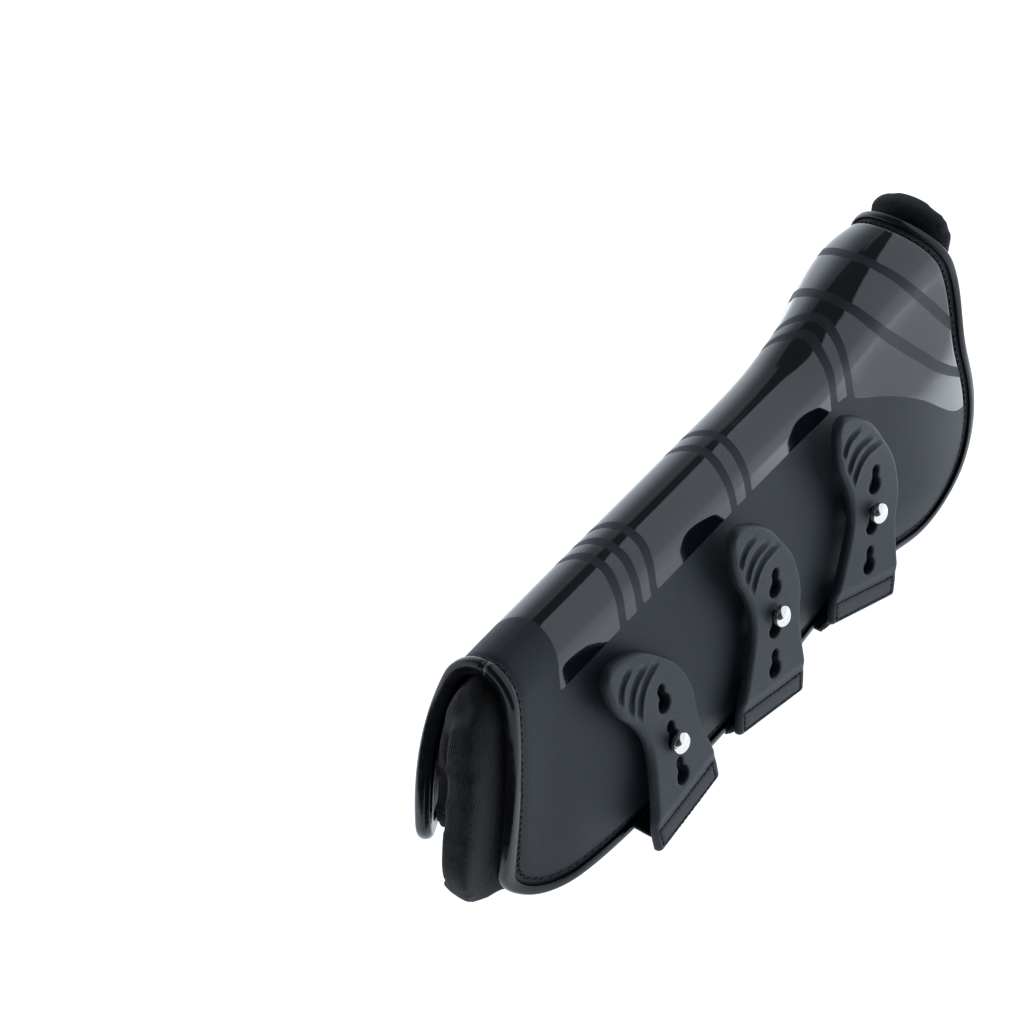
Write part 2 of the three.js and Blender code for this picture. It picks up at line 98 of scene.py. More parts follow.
# ---------- the skin ----------
def hermite(p0, m0, p1, m1, t):
    t2, t3 = t * t, t * t * t
    return (2 * t3 - 3 * t2 + 1) * p0 + (t3 - 2 * t2 + t) * m0 + (3 * t2 - 2 * t3) * p1 + (t3 - t2) * m1


def smoothstep(x, low, high):
    t = np.clip((np.asarray(x, float) - low) / (high - low), 0, 1)
    return t * t * (3 - 2 * t)


def unit(vectors):
    return vectors / np.linalg.norm(vectors, axis=-1, keepdims=True)


def smooth_through(keys, values, x):
    """A smooth curve through (key, value) pairs, at x. values may have several columns."""
    keys, values = np.asarray(keys, float), np.asarray(values, float)
    held = np.clip(x, keys[0], keys[-1])
    k = np.clip(np.searchsorted(keys, held, side="left") - 1, 0, len(keys) - 2)
    numbers = np.arange(len(keys))
    before, after = np.maximum(numbers - 1, 0), np.minimum(numbers + 1, len(keys) - 1)
    span, gaps = keys[k + 1] - keys[k], keys[after] - keys[before]
    t = (held - keys[k]) / span
    if values.ndim == 2:
        span, t, gaps = span[..., None], t[..., None], gaps[:, None]
    slope = (values[after] - values[before]) / gaps
    return hermite(values[k], slope[k] * span, values[k + 1], slope[k + 1] * span, t)


def section_at(at):
    fields = smooth_through(STATIONS[:, 0], STATIONS[:, 1:], np.asarray(at, float))
    return [fields[..., k] for k in range(6)]


def wall_of(top, crown, foot, hem):
    start_y = crown * math.sin(CROWN_ARC)
    start_down = crown * (1 - math.cos(CROWN_ARC))
    height = top - hem
    return start_y, start_down, height, np.hypot(foot - start_y, height - start_down)


def girth_at(at):
    top, crown, foot, hem, _, _ = section_at(at)
    return crown * CROWN_ARC + wall_of(top, crown, foot, hem)[3]


def skin_point(at, reach):
    at, reach = np.broadcast_arrays(np.asarray(at, float), np.asarray(reach, float))
    top, crown, foot, hem, splay, lean = section_at(at)
    start_y, start_down, height, chord = wall_of(top, crown, foot, hem)
    crown_length = crown * CROWN_ARC
    arc = np.abs(reach) * (crown_length + chord)
    turn = np.minimum(arc, crown_length) / crown
    t = np.clip((arc - crown_length) / chord, 0, 2)
    splay = np.radians(splay)
    on_wall = arc > crown_length
    wall_y = hermite(start_y, math.cos(CROWN_ARC) * chord, foot, np.sin(splay) * chord, t)
    wall_down = hermite(start_down, math.sin(CROWN_ARC) * chord, height, np.cos(splay) * chord, t)
    y = np.where(on_wall, wall_y, crown * np.sin(turn))
    down = np.where(on_wall, wall_down, crown * (1 - np.cos(turn)))
    along = np.clip((at - CAP_BULGE["from"]) / (CAP_BULGE["to"] - CAP_BULGE["from"]), 0, 1)
    round_it = np.clip(-reach / CAP_BULGE["share"], 0, 1)
    pull = CAP_BULGE["pull"] * smoothstep(at, CAP_BULGE["rim"], CAP_BULGE["rim_end"])
    y = y + (CAP_BULGE["height"] * np.sin(np.pi * along) ** 2 - pull) * np.sin(np.pi * round_it) ** 2
    share = down / height
    bulge = FAR_BULGE["height"] * smoothstep(at, FAR_BULGE["from"], SPINE_LENGTH)
    hump = np.sin(np.pi * np.minimum(np.abs(reach) / FAR_BULGE["share"], 1)) ** 2
    x = at + lean * share * (2 - share) + bulge * hump
    return np.stack([x, -np.sign(reach) * y, top - down], axis=-1)


def skin_normal(at, reach):
    step = 0.5
    small = step / girth_at(at)
    along = skin_point(at + step, reach) - skin_point(at - step, reach)
    down = skin_point(at, reach + small) - skin_point(at, reach - small)
    return unit(np.cross(down, along))


def skin(at, reach, depth=0.0):
    at, reach, depth = np.broadcast_arrays(*(np.asarray(v, float) for v in (at, reach, depth)))
    return skin_point(at, reach) - skin_normal(at, reach) * depth[..., None]


# ---------- the edge ----------
def side_edge(inset, near, middle, far):
    """One side of the outline, drawn in by inset: its places along the spine and its reaches."""
    angle = np.linspace(0, np.pi / 2, near, endpoint=False)
    near_at = NEAR_CORNER["length"] - (NEAR_CORNER["length"] - inset) * np.cos(angle)
    far_start = SPINE_LENGTH - FAR_CORNER["length"]
    middle_at = np.linspace(NEAR_CORNER["length"], far_start, middle, endpoint=False)
    turn = np.linspace(0, np.pi / 2, far + 1)
    far_at = far_start + (FAR_CORNER["length"] - inset) * np.sin(turn)
    at = np.concatenate([near_at, middle_at, far_at])
    corner = np.concatenate([1 - np.sin(angle), np.zeros(middle), 1 - np.cos(turn)])
    share = np.repeat([NEAR_CORNER["share"], FAR_CORNER["share"]], [near + middle, far + 1])
    drawn_in = inset / girth_at(at)
    return at, 1 - drawn_in - (share - drawn_in) * corner


def whole_edge(inset, near=18, middle=90, far=44, end=44, gap=0.6):
    """The whole outline, from the near end's spine round the -Y side, the far end and the +Y side."""
    at, reach = side_edge(inset, near, middle, far)
    start = gap / 2 / girth_at(0)
    share = np.arange(end) / end
    half_at = np.concatenate([np.full(end, at[0]), at, np.full(end, at[-1])])
    half_reach = np.concatenate([np.maximum(start, reach[0] * share), reach, reach[-1] * share[::-1]])
    return (
        np.concatenate([half_at, half_at[-2::-1]]),
        np.concatenate([half_reach, -half_reach[-2::-1]]),
    )


def distance_to_lines(x, y, lines):
    """The distance from each point (x, y) to the nearest of the given polylines."""
    best = np.full(np.shape(x), np.inf)
    for line in lines:
        line = np.asarray(line, float)
        for (ax, ay), (bx, by) in zip(line[:-1], line[1:]):
            dx, dy = bx - ax, by - ay
            t = np.clip(((x - ax) * dx + (y - ay) * dy) / max(dx * dx + dy * dy, 1e-12), 0, 1)
            best = np.minimum(best, np.hypot(x - ax - t * dx, y - ay - t * dy))
    return best


def edge_line(inset, **steps):
    at, reach = whole_edge(inset, **steps)
    return np.stack([at, reach * girth_at(at)], axis=-1)


# ---------- making pieces ----------
def add_piece(name, mesh, material):
    mesh.materials.clear()
    mesh.materials.append(material)
    piece = bpy.data.objects.new(name, mesh)
    bpy.context.scene.collection.objects.link(piece)
    return piece


def make_mesh(name, points, faces, material):
    """A mesh object from points in millimetres on the skin's axes, with its faces turned outwards."""
    mesh = bpy.data.meshes.new(name)
    placed = (np.asarray(points, float).reshape(-1, 3) + ORIGIN) * MM
    mesh.from_pydata(placed.tolist(), [], [list(face) for face in faces])
    work = bmesh.new()
    work.from_mesh(mesh)
    bmesh.ops.recalc_face_normals(work, faces=work.faces)
    work.to_mesh(mesh)
    work.free()
    mesh.shade_smooth()
    return add_piece(name, mesh, material)


def sheet_faces(rows, columns):
    """The faces of a closed sheet between two grids of points, with walls round its four sides."""
    def number(face, i, j):
        return (face * rows + i) * columns + j

    def quad(*corners):
        faces.append(tuple(number(*corner) for corner in corners))

    faces = []
    for i in range(rows - 1):
        for j in range(columns - 1):
            quad((0, i, j), (0, i, j + 1), (0, i + 1, j + 1), (0, i + 1, j))
            quad((1, i, j), (1, i + 1, j), (1, i + 1, j + 1), (1, i, j + 1))
        for j in (0, columns - 1):
            quad((0, i, j), (0, i + 1, j), (1, i + 1, j), (1, i, j))
    for j in range(columns - 1):
        for i in (0, rows - 1):
            quad((0, i, j), (0, i, j + 1), (1, i, j + 1), (1, i, j))
    return faces


def sheet(name, upper, lower, material):
    rows, columns = upper.shape[:2]
    points = np.concatenate([upper.reshape(-1, 3), lower.reshape(-1, 3)])
    return make_mesh(name, points, sheet_faces(rows, columns), material)


def threads(name, paths, radius, material):
    """Lengths of thread through the given points, as one mesh of round tubes with closed ends."""
    curve = bpy.data.curves.new(name, "CURVE")
    curve.dimensions = "3D"
    curve.bevel_depth = radius * MM
    curve.bevel_resolution = 1
    curve.use_fill_caps = True
    for path in paths:
        spline = curve.splines.new("POLY")
        spline.points.add(len(path) - 1)
        placed = np.ones((len(path), 4))
        placed[:, :3] = (np.asarray(path) + ORIGIN) * MM
        spline.points.foreach_set("co", placed.ravel())
    drawn = bpy.data.objects.new(name + "_line", curve)
    bpy.context.scene.collection.objects.link(drawn)
    bpy.context.view_layer.update()
    mesh = bpy.data.meshes.new_from_object(drawn.evaluated_get(bpy.context.evaluated_depsgraph_get()))
    bpy.data.objects.remove(drawn)
    bpy.data.curves.remove(curve)
    mesh.name = name
    mesh.shade_smooth()
    return add_piece(name, mesh, material)


def settle(piece, body, slot, *nodes):
    """The piece rides on a body and stands for the CAD nodes, which it hides. The slot is not used."""
    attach(piece, body)
    if nodes:
        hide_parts(*nodes)
    return piece


# ---------- materials ----------
class Graph:
    """A tree of shader nodes."""

    def __init__(self, owner):
        owner.use_nodes = True
        self.nodes, self.links = owner.node_tree.nodes, owner.node_tree.links

    def feed(self, socket, value):
        """Links an output to a socket, or gives the socket a value of its own."""
        if isinstance(value, bpy.types.NodeSocket):
            self.links.new(value, socket)
        else:
            socket.default_value = value

    def feed_named(self, node, sockets):
        for name, value in sockets.items():
            self.feed(node.inputs[name.replace("_", " ")], value)

    def node(self, kind, *values, **named):
        """A new node, with what its first inputs take, and what others take by name."""
        node = self.nodes.new(kind)
        for socket, value in zip(node.inputs, values):
            self.feed(socket, value)
        self.feed_named(node, named)
        return node

    def maths(self, operation, *values):
        node = self.node("ShaderNodeMath", *values)
        node.operation = operation
        return node.outputs[0]

    def span(self, value, low, high, first=0.0, last=1.0):
        """Goes smoothly from first to last as the value goes from low to high."""
        node = self.node("ShaderNodeMapRange", value, low, high, first, last)
        node.interpolation_type = "SMOOTHSTEP"
        return node.outputs["Result"]


class Look(Graph):
    """A procedural material on one Principled shader. Lengths are in millimetres of the piece."""

    def __init__(self, name, **constants):
        self.material = bpy.data.materials.new(name)
        super().__init__(self.material)
        self.shader = self.nodes["Principled BSDF"]
        self.feed_named(self.shader, constants)
        self.place = self.node("ShaderNodeTexCoord").outputs["Object"]

    def polish(self, share, ior):
        """Adds a second, polished shader that shows where share is 1. What is set next is set on it."""
        first, self.shader = self.shader, self.node("ShaderNodeBsdfPrincipled", IOR=ior)
        mix = self.node("ShaderNodeMixShader", share, first.outputs[0], self.shader.outputs[0])
        self.links.new(mix.outputs[0], self.nodes["Material Output"].inputs["Surface"])

    def glow(self, centre, radius, low, high):
        """Emission that rises smoothly from low to high towards a centre."""
        place = self.node("ShaderNodeMapping", Vector=self.place, Location=[-v / radius for v in centre],
                          Scale=(1 / radius,) * 3)
        ball = self.node("ShaderNodeTexGradient", place.outputs[0])
        ball.gradient_type = "SPHERICAL"
        strength = self.span(ball.outputs["Fac"], 0, 0.8, low, high)
        self.links.new(strength, self.shader.inputs["Emission Strength"])

    def turned(self, *degrees):
        angles = [math.radians(a) for a in degrees]
        return self.node("ShaderNodeMapping", Vector=self.place, Rotation=angles).outputs[0]

    def noise(self, size, detail=3, roughness=0.5):
        node = self.node("ShaderNodeTexNoise", Vector=self.place, Scale=1 / (size * MM), Detail=detail,
                         Roughness=roughness)
        return node.outputs["Fac"]

    def wave(self, pitch, place=None, distortion=0.0):
        """Bands across X, a pitch apart."""
        node = self.node("ShaderNodeTexWave", Vector=place or self.place, Scale=math.pi / (10 * pitch * MM),
                         Distortion=distortion, Detail_Scale=2)
        return node.outputs["Fac"]

    def cells(self, size):
        node = self.node("ShaderNodeTexVoronoi", Vector=self.place, Scale=1 / (size * MM))
        return node.outputs["Distance"]

    def attribute(self, name):
        node = self.node("ShaderNodeAttribute")
        node.attribute_name = name
        return node.outputs["Fac"]

    def sum(self, *terms):
        """Adds (value, weight) pairs."""
        total = 0
        for value, weight in terms:
            total = self.maths("MULTIPLY_ADD", value, weight, total)
        return total

    def mix(self, factor, first, last):
        node = self.node("ShaderNodeMix", factor)
        node.data_type = "RGBA"
        ends = [s for s in node.inputs if s.type == "RGBA"]
        for socket, colour in zip(ends, (first, last)):
            self.feed(socket, (*colour, 1) if isinstance(colour, tuple) else colour)
        return next(s for s in node.outputs if s.type == "RGBA")

    def colour(self, socket):
        self.links.new(socket, self.shader.inputs["Base Color"])

    def rough(self, socket):
        self.links.new(socket, self.shader.inputs["Roughness"])

    def bump(self, height, distance, strength=1.0):
        node = self.node("ShaderNodeBump", Distance=distance * MM, Strength=strength, Height=height)
        self.links.new(node.outputs["Normal"], self.shader.inputs["Normal"])


def shell_look():
    """Moulded shell: slate satin with a fine grain, and polished near-black where gloss is above 0."""
    look = Look("moulded_shell", Specular_IOR_Level=0.22)
    gloss = look.span(look.attribute("gloss"), -0.12, 0.12)
    grain = look.noise(0.5, 4)
    cloud = look.noise(14, 3)
    scuff = look.span(look.noise(2.2, 6, roughness=0.7), 0.56, 0.74)
    satin = look.mix(cloud, (0.0165, 0.0208, 0.026), (0.0215, 0.0268, 0.0335))
    look.colour(look.mix(scuff, satin, (0.026, 0.034, 0.044)))
    look.rough(look.sum((look.span(grain, 0, 1, 0.42, 0.58), 1), (scuff, 0.06)))
    look.bump(look.sum((grain, 1), (look.cells(0.55), 0.5)), 0.05)
    look.polish(gloss, 1.62)
    look.colour(look.mix(cloud, (0.003, 0.0048, 0.0072), (0.005, 0.0075, 0.0105)))
    look.rough(look.span(cloud, 0.2, 0.8, 0.055, 0.10))
    look.bump(look.noise(7, 2), 0.02)
    return look.material


def plain_look(name, tint, rough, relief, **constants):
    """A look with one noise for colour, one for roughness and one for relief. Each gives the noise's size and
    detail, and then what it spans."""
    look = Look(name, **constants)
    look.colour(look.mix(look.noise(*tint[0]), *tint[1:]))
    look.rough(look.span(look.noise(*rough[0]), *rough[1:]))
    look.bump(look.noise(*relief[0]), *relief[1:])
    return look.material


def knit_look():
    """Close knit over foam: rows of small loops on a slant, with a soft nap."""
    look = Look("liner_knit", Sheen_Weight=0.16, Sheen_Roughness=0.5, Specular_IOR_Level=0.2)
    rows = look.wave(0.55, look.turned(0, 0, 38), 0.8)
    loops = look.wave(0.75, look.turned(35, 20, -52), 0.8)
    fuzz = look.noise(0.35, 3)
    lint = look.span(look.noise(1.1, 2), 0.735, 0.77)
    cloth = look.mix(look.maths("MULTIPLY", rows, loops), (0.003, 0.0034, 0.004), (0.0125, 0.0138, 0.016))
    look.colour(look.mix(lint, cloth, (0.02, 0.021, 0.023)))
    look.rough(look.span(fuzz, 0, 1, 0.82, 1))
    look.bump(look.sum((rows, 0.4), (loops, 0.4), (fuzz, 0.9)), 0.22)
    return look.material


def rubber_look():
    """Satin moulded rubber, slate, with a fine spark-eroded grain and faint rubbing."""
    look = Look("moulded_rubber", Specular_IOR_Level=0.32)
    grain = look.noise(0.45, 4)
    cloud = look.noise(11, 3)
    rub = look.span(look.noise(1.8, 6, roughness=0.7), 0.55, 0.75)
    base = look.mix(cloud, (0.0125, 0.0175, 0.023), (0.0185, 0.025, 0.032))
    look.colour(look.mix(rub, base, (0.023, 0.029, 0.035)))
    look.rough(look.span(grain, 0.2, 0.8, 0.42, 0.6))
    look.bump(look.sum((grain, 1), (look.cells(0.5), 0.5)), 0.045)
    return look.material


def elastic_look():
    """Woven elastic webbing: fine cross ribs over lengthwise cords."""
    look = Look("woven_elastic", Sheen_Weight=0.2, Sheen_Roughness=0.4)
    weave = look.wave(0.8, look.turned(0, 0, 90), 0.4)
    cords = look.wave(1.2, None, 0.3)
    crossing = look.maths("MULTIPLY", weave, cords)
    look.colour(look.mix(crossing, (0.0025, 0.0028, 0.0034), (0.009, 0.01, 0.0115)))
    look.rough(look.span(look.noise(0.4, 3), 0, 1, 0.7, 0.95))
    look.bump(look.sum((weave, 0.6), (cords, 0.4), (look.noise(0.3, 3), 0.4)), 0.2)
    return look.material


def pile_look():
    """Hook-and-loop pile."""
    look = Look("hook_and_loop", Roughness=0.95, Sheen_Weight=0.4, Sheen_Roughness=0.5)
    tufts = look.cells(0.7)
    look.colour(look.mix(look.span(tufts, 0, 0.6), (0.02, 0.021, 0.023), (0.006, 0.006, 0.007)))
    look.bump(look.sum((tufts, -1), (look.noise(0.25, 4), 0.5)), 0.4)
    return look.material


def thread_look():
    look = Look("sewing_thread", Sheen_Weight=0.1)
    twist = look.wave(0.45, look.turned(20, 30, 45))
    look.colour(look.mix(twist, (0.0035, 0.004, 0.005), (0.015, 0.0165, 0.019)))
    look.rough(look.span(look.noise(0.6, 2), 0, 1, 0.5, 0.75))
    look.bump(twist, 0.12)
    return look.material


LOOKS = {
    "shell": shell_look(),
    "binding": plain_look(
        "moulded_binding", ((9, 3), (0.003, 0.004, 0.0055), (0.006, 0.0075, 0.0095)),
        ((3, 4), 0.3, 0.7, 0.13, 0.24), ((2.4, 3), 0.05, 0.5), Specular_IOR_Level=0.36),
    "liner": knit_look(),
    "rubber": rubber_look(),
    "elastic": elastic_look(),
    "pile": pile_look(),
    "thread": thread_look(),
    "metal": plain_look(
        "nickel_plate", ((1.6, 4), (0.66, 0.645, 0.62), (0.77, 0.755, 0.73)),
        ((0.5, 5), 0.3, 0.8, 0.045, 0.14), ((1.6, 4), 0.02, 0.4), Metallic=1.0),
    "nylon": plain_look(
        "moulded_nylon", ((2, 3), (0.009, 0.01, 0.012), (0.02, 0.021, 0.024)),
        ((0.6, 3), 0, 1, 0.35, 0.55), ((0.4, 3), 0.03)),
}

# ---------- the shell's polished panels ----------
# Places along the spine (at) and arcs from it, the same on both sides.
CUFF_LINE = ([0, 10, 17, 24.5], [30.2, 28.5, 27.4, 27.0])  # arc: where the polish starts
PANEL_LINE = (  # at: how far from the spine the polish reaches
    [27, 61, 110, 180, 208, 213.5, 218, 223, 235.4, 249.4, 257.3, 264, 270.6, 276.1, 283.4, 286.9, 289.5,
     291.5],
    [24.5, 24, 23.7, 24, 26.5, 27.2, 28.7, 34, 45.3, 60.1, 69.2, 78.3, 86.1, 90, 90.7, 85.8, 77.3, 67.7],
)
MATTE_BANDS = [  # arc: middle of the band
    ([0, 3, 9.5, 16, 24], [68.3, 67.9, 65.7, 64.3, 63.5]),
    ([0, 4.2, 11.9, 19.3, 25], [78.0, 77.5, 75.4, 74.5, 74.2]),
    ([0, 4.6, 12, 19, 24.6], [88.5, 87.9, 85.3, 83.8, 83.5]),
    ([0, 3, 10, 17, 24], [142.0, 141.1, 139.4, 138.7, 138.7]),
    ([0, 4.5, 12, 18, 24], [152.7, 151.6, 150.0, 149.5, 148.9]),
    ([0, 4.9, 11.9, 19.1, 26.7], [219.3, 216.3, 213.9, 212.0, 210.7]),
    ([0, 7.9, 16.1, 24, 32], [228.5, 225.2, 222.4, 221.4, 220.5]),
    ([0, 3, 16.4, 35.7, 56, 69, 80], [239.2, 239.2, 242.0, 251.1, 264.4, 275.6, 288.9]),
    ([0, 7.2, 21.4, 39.3, 51, 60], [261.5, 262.1, 264.8, 273.0, 281.5, 291.4]),
]
BAND_HALF = 2.1
POLISH_END = 283.2
SATIN = -5.0  # the polish distance on the inner face
POLISH_HEIGHT = 0.05
RIDGE_ROUND = 5.0  # how softly the bands turn over the spine
SEAM = {"inset": 6.3, "half": 1.5, "depth": 0.5}  # the sewn groove beside the binding
PARTING = {"height": 0.22, "half": 0.55}  # the mould's parting line along the spine


def polish_distance(at, arc):
    """How far inside a polished panel a place is, in millimetres; negative on the satin parts."""
    def across(line, x):
        """The cosine of the line's slope, which turns a gap along the line's own axis into a distance."""
        return 1 / np.sqrt(1 + (smooth_through(*line, x + 0.5) - smooth_through(*line, x - 0.5)) ** 2)

    arc = np.hypot(arc, RIDGE_ROUND) - RIDGE_ROUND
    inside = (smooth_through(*PANEL_LINE, at) - arc) * across(PANEL_LINE, at)
    inside = np.minimum(inside, at - smooth_through(*CUFF_LINE, arc))
    inside = np.minimum(inside, POLISH_END - at)
    for band in MATTE_BANDS:
        gap = np.abs(at - smooth_through(*band, arc)) * across(band, arc)
        inside = np.minimum(inside, gap - BAND_HALF)
    return inside


def shell_relief(at, arc, polish, edge):
    """The height of the moulded surface over the skin."""
    height = POLISH_HEIGHT * (smoothstep(polish, -0.5, 0.5) - 0.5)
    height = height + PARTING["height"] * np.exp(-((arc / PARTING["half"]) ** 2))
    return height - SEAM["depth"] * np.exp(-(((edge - SEAM["inset"]) / SEAM["half"]) ** 2))


def build_shell():
    at, reach = side_edge(2.6, 22, 170, 56)
    columns = 2 * 92 + 1
    across = np.linspace(-1, 1, columns)
    reach = reach[:, None] * across[None, :]
    at = np.repeat(at[:, None], columns, axis=1)
    arc = reach * girth_at(at)
    edge = distance_to_lines(at, arc, [edge_line(0, near=8, middle=20, far=14, end=12)])
    polish = polish_distance(at, arc)
    upper = skin(at, reach, -shell_relief(at, arc, polish, edge))
    lower = skin(at, reach, SHELL_THICKNESS)
    piece = sheet("moulded_shell", upper, lower, LOOKS["shell"])
    values = np.concatenate([polish.ravel(), np.full(polish.size, SATIN)]).astype(np.float32)
    piece.data.attributes.new("gloss", "FLOAT", "POINT").data.foreach_set("value", values)
    return settle(piece, "boot", "shell", "shell")


# ---------- the binding ----------
BEAD = {"leg": 4.5, "nose": 1.9, "reach": 2.0, "middle": 1.2, "round": 3.15}
BEAD_DOME = {"base": 0.9, "rise": 1.05, "run": 2.75}
# The inner leg and the channel that the shell sits in: insets from the edge and depths under the skin.
BEAD_INNER = [
    (1.9, 4.3), (3.6, 4.25), (5.1, 4.15), (5.6, 3.9), (5.6, 3.05), (2.3, 3.05), (2.3, -0.65), (4.5, -0.65),
]
BEAD_END = {"lift": 0.28, "fade": 3.0}  # the end laid down last stands a little proud


def binding_section(count=12):
    """Round the bead, as insets from the edge and depths under the skin: a domed outer leg, a round nose that
    folds over the shell's edge, and the inner leg."""
    nose = BEAD["nose"]
    insets = np.linspace(BEAD["leg"], nose, count)
    bow = np.sqrt(np.clip(1 - ((insets - nose) / BEAD_DOME["run"]) ** 2, 0, 1))
    dome = -(BEAD_DOME["base"] + BEAD_DOME["rise"] * bow)
    angles = np.linspace(0, np.pi, 2 * count)[1:-1]
    fold = zip(nose - BEAD["reach"] * np.sin(angles), BEAD["middle"] - BEAD["round"] * np.cos(angles))
    return [*zip(insets, dome), *fold, *BEAD_INNER]


def build_binding():
    section = binding_section()
    rings = []
    for inset, depth in section:
        at, reach = whole_edge(inset)
        lift = BEAD_END["lift"] * np.exp(-np.arange(len(at)) / BEAD_END["fade"])
        rings.append(skin(at, reach, depth - lift * (depth < 0)))
    points = np.stack(rings, axis=1)
    count, size = points.shape[:2]
    ring = np.arange(size)
    after = np.roll(ring, -1)
    quads = np.stack([ring, after, size + after, size + ring], axis=-1)
    faces = [quad for k in range(count - 1) for quad in (quads + k * size).tolist()]
    for triangle in geometry.tessellate_polygon([[Vector((inset, depth, 0)) for inset, depth in section]]):
        faces += [tuple(triangle), tuple(v + (count - 1) * size for v in triangle)]
    piece = make_mesh("edge_bead", points, faces, LOOKS["binding"])
    return settle(piece, "boot", "binding", "edge_binding")


def run_lengths(line):
    """How far along a line each of its points is."""
    return np.concatenate([[0], np.cumsum(np.linalg.norm(np.diff(line, axis=0), axis=1))])


def resample(line, step):
    """Points evenly spaced along a line."""
    line = np.asarray(line, float)
    lengths = run_lengths(line)
    marks = np.linspace(0, lengths[-1], max(2, int(round(lengths[-1] / step)) + 1))
    return np.stack([np.interp(marks, lengths, line[:, k]) for k in range(line.shape[1])], axis=-1)


STITCH = {"half": 0.75, "pitch": 1.55, "steps": 5, "sink": 0.7, "rise": 0.5, "radius": 0.26}


def build_edge_stitching():
    """A zigzag of thread in the groove beside the binding, all round."""
    sides = [edge_line(SEAM["inset"] + offset) for offset in (-STITCH["half"], STITCH["half"])]
    lengths = run_lengths(edge_line(SEAM["inset"]))
    marks = np.arange(1.0, lengths[-1] - 1.0, STITCH["pitch"])
    marks = marks + RANDOM.uniform(-0.4, 0.4, len(marks))
    path = np.array([[np.interp(mark, lengths, sides[k % 2][:, axis]) for axis in (0, 1)]
                     for k, mark in enumerate(marks)])
    path = path + RANDOM.uniform(-0.18, 0.18, (len(path), 2))
    t = np.linspace(0, 1, STITCH["steps"], endpoint=False)
    at, arc = (path[:-1, None] * (1 - t[None, :, None]) + path[1:, None] * t[None, :, None]).reshape(-1, 2).T
    depth = np.tile(STITCH["sink"] - STITCH["rise"] * np.sin(np.pi * t) ** 0.6, len(path) - 1)
    route = skin(at, arc / girth_at(at), depth)
    piece = threads("edge_stitching", [route], STITCH["radius"], LOOKS["thread"])
    return settle(piece, "boot", "binding")


# ---------- the liner ----------
def liner_places(rows, columns):
    """The pad's places on the skin and its two faces' depths. It stands proud of the shell at both ends: a
    thick lobe on the -Y side at the near end, and a roll over the spine at the far end."""
    at, whole = rows
    across = np.linspace(-1, 1, columns)[None, :]
    hem = LINER["near_hem"] + (LINER["hem"] - LINER["near_hem"]) * smoothstep(at, 5, 38)
    reach = (whole - hem / girth_at(at))[:, None] * across
    at = at[:, None]
    lobe = smoothstep(reach, 0.25, 0.8) * (1 - smoothstep(at, 0, 30))
    reach = reach + LINER_NEAR["lobe"] * lobe
    share = at / SPINE_LENGTH
    right = smoothstep(reach, 0.0, 0.25)
    left = smoothstep(-reach, 0.0, 0.7)
    near = LINER_NEAR["spine"] + (LINER_NEAR["right"] - LINER_NEAR["spine"]) * right
    near = near + (LINER_NEAR["left"] - LINER_NEAR["spine"]) * left
    near = near - LINER_NEAR["corner"] * smoothstep(reach, 0.72, 0.95)
    far_share = np.minimum(np.abs(reach) / LINER_FAR["share"], 1)
    far = LINER_FAR["spine"] + (LINER_FAR["edge"] - LINER_FAR["spine"]) * far_share
    place = at - near * (1 - share) ** 3 + far * share ** 3
    arc = np.abs(reach) * girth_at(at)
    roll = smoothstep(place, LINER_FAR["from"], LINER_FAR["to"]) * (1 - smoothstep(arc, 12, LINER_FAR["arc"]))
    outer = LINER["outer"] - LINER_FAR["rise"] * roll
    thick = LINER_NEAR["thick"] * right * (1 - smoothstep(place, 0, LINER_NEAR["reach"]))
    inner = LINER["inner"] + thick - 0.6 * LINER_FAR["rise"] * roll
    return place, reach, outer, inner


SWELL = {"slack": 0.9, "voxel": 2.6, "pressure": 4, "cap": 0.85, "frames": 20}


def swell(piece):
    """Remeshes a padded piece and blows it up with a cloth simulation, each point by the cap at most."""
    remesh = piece.modifiers.new("even", "REMESH")
    remesh.mode = "VOXEL"
    remesh.voxel_size = SWELL["voxel"] * MM
    apply_modifiers(piece)
    start = np.array([v.co for v in piece.data.vertices])
    cloth = piece.modifiers.new("pad", "CLOTH")
    settings = {"quality": 5, "mass": 0.2, "tension_stiffness": 12, "compression_stiffness": 12,
                "bending_stiffness": 0.4, "use_pressure": True, "uniform_pressure_force": SWELL["pressure"]}
    for name, value in settings.items():
        setattr(cloth.settings, name, value)
    cloth.settings.effector_weights.gravity = 0
    cloth.point_cache.frame_start, cloth.point_cache.frame_end = 1, SWELL["frames"]
    for number in range(1, SWELL["frames"] + 1):
        bpy.context.scene.frame_set(number)
    apply_modifiers(piece)
    bpy.context.scene.frame_set(1)
    moved = np.array([v.co for v in piece.data.vertices]) - start
    length = np.linalg.norm(moved, axis=1, keepdims=True)
    moved *= np.minimum(1, SWELL["cap"] * MM / np.maximum(length, 1e-9))
    piece.data.vertices.foreach_set("co", (start + moved).ravel())


def apply_modifiers(piece):
    bpy.context.view_layer.update()
    mesh = bpy.data.meshes.new_from_object(piece.evaluated_get(bpy.context.evaluated_depsgraph_get()))
    old = piece.data
    piece.modifiers.clear()
    piece.data = mesh
    bpy.data.meshes.remove(old)


def build_liner():
    rows = side_edge(0, 10, 60, 34)
    at, reach, outer, inner = liner_places(rows, 85)
    upper, lower = skin(at, reach, outer + SWELL["slack"]), skin(at, reach, inner - SWELL["slack"])
    piece = sheet("padded_liner", upper, lower, LOOKS["liner"])
    swell(piece)
    smooth = piece.modifiers.new("even", "SMOOTH")
    smooth.factor = 0.5
    smooth.iterations = 3
    subdivide = piece.modifiers.new("fine", "SUBSURF")
    subdivide.levels = subdivide.render_levels = 1
    apply_modifiers(piece)
    piece.data.materials.clear()
    piece.data.materials.append(LOOKS["liner"])
    piece.data.shade_smooth()
    return settle(piece, "boot", "liner", "liner")


